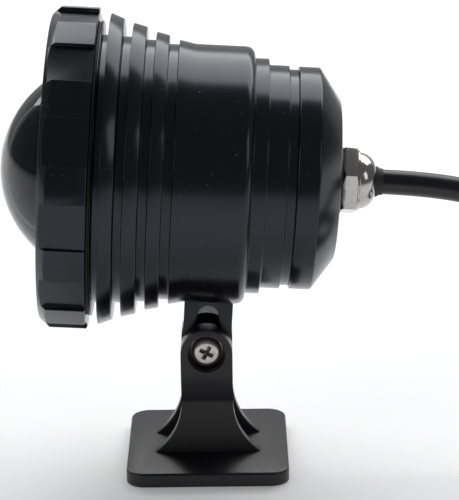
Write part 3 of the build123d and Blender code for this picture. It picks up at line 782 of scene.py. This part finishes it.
# %% Rear cap
cap = turned("cap_turned", [
    (12.0, 23.0), (12.0, 26.85), (15.0, 26.85), (15.0, 25.2), (17.4, 25.2), (17.4, 26.85),
    (21.9, 26.85), (21.9, 31.1), (27.9, 31.1), (34.1, 22.2), (34.1, 6.05), (28.0, 6.05), (28.0, 23.0),
], sides=160)
eased(cap, 0.4, segments=3)
carried(cap, AT_LAMP)
stands_for(cap, "lamp", "black_anodised", black_metal, "rear_cap")

# %% Gland
HEX_CORNER, HEX_TURN = 10.0, radians(38.0)
DOME_FRONT, DOME_LENGTH = 40.3, 4.5
DOME = [(0.15, 7.86), (0.3, 7.68), (0.45, 7.4), (0.6, 7.0), (0.74, 6.5), (0.86, 5.85), (0.95, 5.2)]
hexagon = bar("gland_hexagon", HEX_CORNER, 35.5, 39.6, sides=6, turn=HEX_TURN)
cut(hexagon, turned("hex_blank", [
    (35.5, 3.7), (35.5, 8.9), (36.2, 10.1), (39.2, 10.1), (39.6, 9.3), (39.6, 3.7),
], sides=120), "INTERSECT")
eased(hexagon, 0.12, segments=2, angle=25.0)
carried(hexagon, AT_LAMP)
stands_for(hexagon, "lamp", "nickel", nickel, "gland_body", smooth=25.0)
outline = [(39.62, 6.5), (39.62, 8.35), (39.75, 8.5), (40.15, 8.5), (40.3, 8.35), (40.3, 7.95)]
outline += [(DOME_FRONT + DOME_LENGTH * share, radius) for share, radius in DOME]
outline += [(44.8, 4.6), (44.5, 4.42), (44.2, 4.4), (43.2, 5.4), (41.0, 5.4), (41.0, 6.5)]
dome = turned("gland_dome", outline, sides=96)
carried(dome, AT_LAMP)
stands_for(dome, "lamp", "nickel", nickel, "gland_nut", smooth=32.0)
bush = turned("gland_bush_lip", [
    (41.0, 3.52), (41.0, 5.3), (43.1, 5.3), (44.1, 4.35), (45.0, 4.35), (45.8, 4.1), (45.85, 3.85),
    (47.0, 3.7), (47.0, 3.52),
], sides=72)
carried(bush, AT_LAMP)
stands_for(bush, "lamp", "seal_rubber", seal_rubber, "gland_bush")
gland_seal = turned("gland_flat_seal", [(34.1, 6.05), (34.1, 9.3), (35.5, 9.3), (35.5, 6.05)], sides=96)
eased(gland_seal, 0.25)
carried(gland_seal, AT_LAMP)
stands_for(gland_seal, "lamp", "seal_rubber", seal_rubber, "gland_washer")

# %% Hood behind the lens
hood = turned("hood_cone", [
    (-35.0, 30.3), (-35.0, 27.8), (-24.9, 10.2), (-24.9, 11.4), (-34.0, 28.2), (-34.0, 29.2),
    (-21.5, 29.2), (-21.5, 30.3),
], sides=120)
eased(hood, 0.2)
carried(hood, AT_LAMP)
stands_for(hood, "lamp", "dark_plastic", dark_plastic, "light_hood")

# %% [markdown]
# ## The lug
# The lug is a flat tongue with a round lower end, a long slot for the pivot screw, and a top that meets
# the barrel. A cylinder on its side gives the round end; its upper half is flattened and pulled up.
# The slot's tool is made the same way, with its upper half moved up by the slot's travel.

# %% Lug
LUG_RADIUS, LUG_THICKNESS, LUG_TOP, SLOT_RADIUS, SLOT_TRAVEL = 6.9, 8.9, 14.3, 3.0, 9.45


def side_drum(name, radius, depth, sides):
    """A cylinder on its side, along Y."""
    bpy.ops.object.select_all(action="DESELECT")
    bpy.ops.mesh.primitive_cylinder_add(
        vertices=sides, radius=radius * MM, depth=depth * MM, rotation=(pi / 2, 0, 0)
    )
    return started(name)


lug = side_drum("lug_tongue", LUG_RADIUS, LUG_THICKNESS, 96)
bpy.ops.object.mode_set(mode="EDIT")
choose(lug, "verts", lambda vertex: vertex.co.z > 0.00001)
bpy.ops.transform.resize(value=(1, 1, 0), center_override=(0, 0, 0))
bpy.ops.transform.translate(value=(0, 0, LUG_TOP * MM))
bpy.ops.object.mode_set(mode="OBJECT")
slot_tool = side_drum("slot_tool", SLOT_RADIUS, 3 * LUG_THICKNESS, 64)
bpy.ops.object.mode_set(mode="EDIT")
choose(slot_tool, "verts", lambda vertex: vertex.co.z > 0.00001)
bpy.ops.transform.translate(value=(0, 0, SLOT_TRAVEL * MM))
bpy.ops.object.mode_set(mode="OBJECT")
closed_up(lug)
cut(lug, slot_tool)
eased(lug, 0.4, segments=3)
carried(lug, AT_PIVOT)
stands_for(lug, "lamp", "black_anodised", lug_metal, "tilt_lug")

# %% [markdown]
# ## The forked foot
# The foot is a square plate with rounded corners, and two arms that flare where they meet it. Each arm
# is grown upwards from a rectangle, row by row: a row has a height, a half width, and an inner and an
# outer face. The flare and the round head are only more rows, close together where the outline curves.
# Then the arms and the plate are joined, and the holes for the screw, its head and its nut are cut.

# %% Foot plate
PLATE_WIDTH, PLATE_DEPTH, PLATE_THICKNESS, PLATE_CORNER, PLATE_EDGE = 46.0, 50.0, 4.0, 5.5, 0.7
bpy.ops.object.select_all(action="DESELECT")
bpy.ops.mesh.primitive_cube_add(size=MM, location=(0, 0, PLATE_THICKNESS / 2 * MM))
plate = started("foot_plate")
bpy.ops.object.mode_set(mode="EDIT")
bpy.ops.mesh.select_all(action="SELECT")
bpy.ops.transform.resize(
    value=(PLATE_WIDTH, PLATE_DEPTH, PLATE_THICKNESS), center_override=(0, 0, PLATE_THICKNESS / 2 * MM)
)
choose(plate, "edges", lambda edge: abs(edge.verts[0].co.z - edge.verts[1].co.z) > MM)
bpy.ops.mesh.bevel(offset=PLATE_CORNER * MM, segments=14)
choose(plate, "edges", lambda edge: all(v.co.z > (PLATE_THICKNESS - 0.01) * MM for v in edge.verts))
bpy.ops.mesh.bevel(offset=PLATE_EDGE * MM, segments=4)
choose(plate, "edges", lambda edge: all(v.co.z < 0.01 * MM for v in edge.verts))
bpy.ops.mesh.bevel(offset=0.15 * MM, segments=1)
bpy.ops.object.mode_set(mode="OBJECT")
closed_up(plate)

# %% Arms
PIVOT_HEIGHT = pivot_place.z / MM
HEAD_RADIUS, EAR_INNER, EAR_OUTER, ARM_INNER, ARM_OUTER = 7.35, 4.7, 11.1, 5.75, 8.8
FLARE_TOP, FLARE_REACH, FLARE_BOTTOM, HEAD_TIP = 19.0, 15.9, 3.5, 0.15


def half_width(height):
    """Half the arm's width at a height: the flare, the straight part or the round head."""
    if height < FLARE_TOP:
        rise, out = FLARE_TOP - FLARE_BOTTOM, FLARE_REACH - HEAD_RADIUS
        curve = (out**2 + rise**2) / (2 * out)
        return HEAD_RADIUS + curve - sqrt(curve**2 - (FLARE_TOP - height) ** 2)
    above = max(height - PIVOT_HEIGHT, 0.0)
    return sqrt(max(HEAD_RADIUS**2 - above**2, HEAD_TIP**2))


def between(height, low, low_value, high, high_value):
    """A value that changes evenly between two heights and holds outside them."""
    share = min(max((height - low) / (high - low), 0.0), 1.0)
    return low_value + (high_value - low_value) * share


FLARE_STEPS, HEAD_STEPS = 16, 20
rows = [FLARE_BOTTOM + k * (FLARE_TOP - FLARE_BOTTOM) / FLARE_STEPS for k in range(FLARE_STEPS + 1)]
rows += [19.3, 20.0, 21.0, 22.0, 23.0, 24.0, 25.8, 27.6, 30.0, PIVOT_HEIGHT]
rows += [PIVOT_HEIGHT + HEAD_RADIUS * sin(pi / 2 * k / HEAD_STEPS) for k in range(1, HEAD_STEPS + 1)]


def arm_row(height):
    """Half width, the middle of the thickness and half the thickness of one row."""
    inner = between(height, 20.0, ARM_INNER, 24.0, EAR_INNER)
    outer = between(height, 19.3, ARM_OUTER, 27.6, EAR_OUTER)
    return half_width(height), (inner + outer) / 2, (outer - inner) / 2


def arm(name, side):
    """One arm, grown row by row; side is -1 for the near one."""
    width, middle, thickness = arm_row(rows[0])
    bpy.ops.object.select_all(action="DESELECT")
    bpy.ops.mesh.primitive_plane_add(size=2 * MM, location=(0, side * middle * MM, rows[0] * MM))
    piece = started(name)
    bpy.ops.object.mode_set(mode="EDIT")
    bpy.ops.mesh.select_mode(type="FACE")
    bpy.ops.mesh.select_all(action="SELECT")
    centre = (0, side * middle * MM, rows[0] * MM)
    bpy.ops.transform.resize(value=(width, thickness, 1), center_override=centre)
    for before, height in zip(rows, rows[1:]):
        next_width, next_middle, next_thickness = arm_row(height)
        move = (0, side * (next_middle - middle) * MM, (height - before) * MM)
        bpy.ops.mesh.extrude_region_move(TRANSFORM_OT_translate={"value": move})
        growth = (next_width / width, next_thickness / thickness, 1)
        centre = (0, side * next_middle * MM, height * MM)
        bpy.ops.transform.resize(value=growth, center_override=centre)
        width, middle, thickness = next_width, next_middle, next_thickness
    bpy.ops.object.mode_set(mode="OBJECT")
    closed_up(piece)
    eased(piece, 0.45, segments=3, angle=50.0)
    return piece


for side in (-1, 1):
    cut(plate, arm("arm_piece", side), "UNION")
foot = plate
foot.name = "forked_foot"
BORES = [  # radius, front, back, sides: the screw's hole, its head's well and the nut's pocket
    (2.1, -20, 20, 48),
    (5.35, -20, -EAR_OUTER + 4.9, 72),
    (7.2 / sqrt(3), EAR_OUTER - 3.8, 20, 6),
]
for radius, front, back, sides in BORES:
    tool = bar("bore_tool", radius, front, back, sides=sides)
    carried(tool, AT_SCREW)
    cut(foot, tool)
closed_up(foot)
stands_for(foot, "bracket", "black_polymer", foot_plastic, "bracket_base", smooth=30.0)

# %% [markdown]
# ## Pivot screw, washer, nut and bush
# The screw is a pan head with a cross recess. The head is turned, and two tapered blades cut the cross.
# The thread shows only where it comes out of the nut, so that end gets a few ridges.

# %% Screw
SHANK, THREAD_ROOT, THREAD_PITCH, THREAD_START, THREAD_TURNS = 1.98, 1.72, 0.7, 5.6, 6
outline = [(SCREW_FACE, 0.4), (SCREW_FACE, 2.8), (-9.45, 3.35), (-9.15, 3.75), (-8.7, 4.07)]
outline += [(-8.2, 4.25), (-7.6, 4.3), (-6.9, 4.3), (-6.9, SHANK), (5.5, SHANK)]
for k in range(THREAD_TURNS):
    ridge = THREAD_START + THREAD_PITCH * k
    outline += [(ridge, SHANK), (ridge + 0.3, SHANK)]
    outline += [(ridge + 0.45, THREAD_ROOT), (ridge + 0.6, THREAD_ROOT)]
outline += [(10.0, 1.9), (10.2, 1.7), (10.2, 0.3)]
screw = turned("pivot_screw_cross", outline, sides=72, solid=True)
CROSS_TURN, CROSS_LENGTH, CROSS_WIDTH, CROSS_DEPTH = radians(27.0), 6.0, 1.35, 1.9
for quarter in (0, 1):
    bpy.ops.object.select_all(action="DESELECT")
    bpy.ops.mesh.primitive_cube_add(size=1.0, location=(0, 0, 0))
    blade = started("cross_blade")
    bpy.ops.object.mode_set(mode="EDIT")
    bpy.ops.mesh.select_all(action="SELECT")
    size = (2 * CROSS_DEPTH * MM, CROSS_LENGTH * MM, CROSS_WIDTH * MM)
    bpy.ops.transform.resize(value=size, center_override=(0, 0, 0))
    choose(blade, "verts", lambda vertex: vertex.co.x > 0)
    bpy.ops.transform.resize(value=(1, 0.42, 0.7), center_override=(CROSS_DEPTH * MM, 0, 0))
    bpy.ops.object.mode_set(mode="OBJECT")
    blade.matrix_world = Matrix.Translation((SCREW_FACE * MM, 0, 0)) @ Matrix.Rotation(
        CROSS_TURN + quarter * pi / 2, 4, "X"
    )
    cut(screw, blade)
eased(screw, 0.08, segments=2, angle=40.0)
carried(screw, AT_SCREW)
stands_for(screw, "bracket", "stainless", screw_steel, "pivot_screw")

# %% Washer, nut and bush
pivot_washer = turned("pivot_flat_washer", [
    (-6.9, 2.05), (-6.9, 4.6), (-6.2, 4.6), (-6.2, 2.05),
], sides=72)
eased(pivot_washer, 0.12)
carried(pivot_washer, AT_SCREW)
stands_for(pivot_washer, "bracket", "stainless", stainless, "pivot_washer")
nut = bar("pivot_hex_nut", 7.0 / sqrt(3), 7.3, 10.3, sides=6)
cut(nut, turned("nut_blank", [
    (7.3, 2.0), (7.3, 3.5), (7.75, 4.1), (9.85, 4.1), (10.3, 3.5), (10.3, 2.3), (10.0, 2.0),
], sides=72), "INTERSECT")
eased(nut, 0.08, angle=25.0)
carried(nut, AT_SCREW)
stands_for(nut, "bracket", "stainless", stainless, "pivot_nut", smooth=25.0)
sleeve = turned("pivot_sleeve", [(-4.65, 2.05), (-4.65, 2.95), (4.65, 2.95), (4.65, 2.05)], sides=72)
eased(sleeve, 0.15)
carried(sleeve, AT_SCREW)
stands_for(sleeve, "bracket", "dark_plastic", dark_plastic, "pivot_bush")

# %% [markdown]
# ## The plug and the tie
# The cable ends in a barrel plug: a boot with flex grooves, a grip with three finger grooves, and a metal
# barrel lined with plastic. All four are turned about the plug's own axis. A strap holds the coil. Its
# inside is the hull of the turns that pass there, which is what a strap pulled tight takes up.

# %% Plug
BOOT_GROOVES, GROOVE_START, GROOVE_PITCH, GROOVE_DEPTH = 5, 3.0, 3.1, 0.45
BOOT_RADIUS, BOOT_SWELL = 3.95, 0.16
outline = [(0, 0.4), (0, 3.75), (1.6, 3.9)]
for k in range(BOOT_GROOVES):
    start, swell = GROOVE_START + GROOVE_PITCH * k, BOOT_RADIUS + BOOT_SWELL * k
    deep = swell - GROOVE_DEPTH
    outline += [(start, swell), (start + 0.25, deep), (start + 1.15, deep), (start + 1.4, swell)]
outline += [(18.6, 4.9), (20.0, 5.0), (20.0, 0.4)]
boot = turned("plug_boot_grooved", outline, sides=72, solid=True)
eased(boot, 0.12)
carried(boot, AT_PLUG)
stands_for(boot, "bracket", "plug_plastic", plug_plastic, "plug_boot")
grip = turned("plug_grip_ringed", [
    (20.0, 0.4), (20.0, 4.7), (20.9, 5.5), (24.2, 5.5), (24.6, 5.1), (25.4, 5.1), (25.8, 5.5),
    (27.0, 5.5), (27.4, 5.1), (28.2, 5.1), (28.6, 5.5), (29.8, 5.5), (30.2, 5.1), (31.0, 5.1),
    (31.4, 5.5), (39.0, 5.5), (41.2, 5.1), (42.0, 4.4), (42.0, 0.4),
], sides=72, solid=True)
eased(grip, 0.12)
carried(grip, AT_PLUG)
stands_for(grip, "bracket", "plug_plastic", plug_plastic, "plug_grip")
barrel = turned("plug_barrel_metal", [
    (42.0, 1.6), (42.0, 2.75), (51.2, 2.75), (51.5, 2.5), (51.5, 1.75), (51.3, 1.6),
], sides=72)
carried(barrel, AT_PLUG)
stands_for(barrel, "bracket", "nickel", nickel, "plug_barrel")
liner = turned("plug_liner", [
    (42.0, 1.05), (42.0, 1.58), (51.8, 1.58), (51.8, 1.25), (51.6, 1.05),
], sides=60)
carried(liner, AT_PLUG)
stands_for(liner, "bracket", "dark_plastic", dark_plastic, "plug_insulator")

# %% Strap round the coil
STRAP_ANGLE, STRAP_WIDTH, STRAP_THICKNESS, STRAP_GAP = radians(150.0), 8.0, 0.9, 0.08
strap_out = Vector((cos(STRAP_ANGLE), sin(STRAP_ANGLE), 0))
strap_along = Vector((-sin(STRAP_ANGLE), cos(STRAP_ANGLE), 0))
coil_middle = Vector((*COIL_CENTRE, 0)) * MM
crossings = []
for a, b in zip(cable_path, cable_path[1:]):
    side_a, side_b = ((point - coil_middle).dot(strap_along) for point in (a, b))
    if side_a * side_b <= 0 and (a - coil_middle).dot(strap_out) > 0 and side_a != side_b:
        crossings.append(a.lerp(b, side_a / (side_a - side_b)))


def hull_round(name, places, radius, width):
    """The solid hull of short bars at those places, all along the strap's direction."""
    bpy.ops.object.select_all(action="DESELECT")
    turn = strap_along.to_track_quat("Z", "Y").to_euler()
    bars = []
    for place in places:
        bpy.ops.mesh.primitive_cylinder_add(
            vertices=40, radius=radius * MM, depth=width * MM, location=place, rotation=turn
        )
        bars.append(bpy.context.object)
    only(*bars)
    bpy.ops.object.join()
    piece = started(name)
    bpy.ops.object.mode_set(mode="EDIT")
    bpy.ops.mesh.select_all(action="SELECT")
    bpy.ops.mesh.convex_hull()
    bpy.ops.object.mode_set(mode="OBJECT")
    closed_up(piece)
    return piece


strap = hull_round("coil_strap", crossings, CABLE_RADIUS + STRAP_GAP + STRAP_THICKNESS, STRAP_WIDTH)
cut(strap, hull_round("strap_tool", crossings, CABLE_RADIUS + STRAP_GAP, 2 * STRAP_WIDTH))
eased(strap, 0.2)
stands_for(strap, "bracket", "dark_plastic", strap_fabric, "coil_tie", smooth=35.0)
print("strap holds", len(crossings), "turns")

# %% [markdown]
# ## The cable's finish
# The cable starts in the gland, which tilts with the lamp, and ends in a coil that stays on the floor.
# Here it is shaded smooth, gets the rubber finish and has its place baked into its mesh, and the
# imported cable parts are hidden. The blend runs slantwise, down the droop, so that it is spread over
# the whole free length.

only(cable)
bpy.ops.object.shade_smooth()
cable.data.materials.clear()
cable.data.materials.append(cable_rubber)
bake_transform(cable)
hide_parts("cable_tube", "cable_coil", "cable_tail")
print("cable faces", len(cable.data.polygons))

# %% [markdown]
# ## Finishes for the parts that stay
# Seals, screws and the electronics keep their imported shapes: they are small, or seen only through the
# lens. Each still gets a finish with grain of its own.

# %% Finish the remaining parts
KEPT = {
    seal_rubber: ("bezel_seal", "slip_gasket", "lens_seal", "cap_ring_seal"),
    cable_rubber: ("cable_inlet",),
    stainless: ("lug_screws", "heat_plate_screws", "led_board_screws", "driver_screws"),
    bare_aluminium: ("heat_plate",),
    brass: ("gland_locknut", "driver_spacers"),
    grey_pad: ("heat_pad",),
    white_board: ("led_board",),
    green_board: ("driver_board",),
    emitter_ceramic: ("led_emitter",),
    phosphor_gel: ("led_phosphor",),
    ferrite_black: ("driver_inductor",),
    blue_sleeve: ("driver_capacitors",),
    chip_black: ("driver_chips",),
    wire_red: ("led_wires", "cable_cores"),
}
for finish, names in KEPT.items():
    for name in names:
        node = frame["nodes"][name]
        if not node.data.materials:
            node.data.materials.append(finish)
        for index in range(len(node.material_slots)):
            node.material_slots[index].material = finish
print("kept parts", sum(len(names) for names in KEPT.values()))
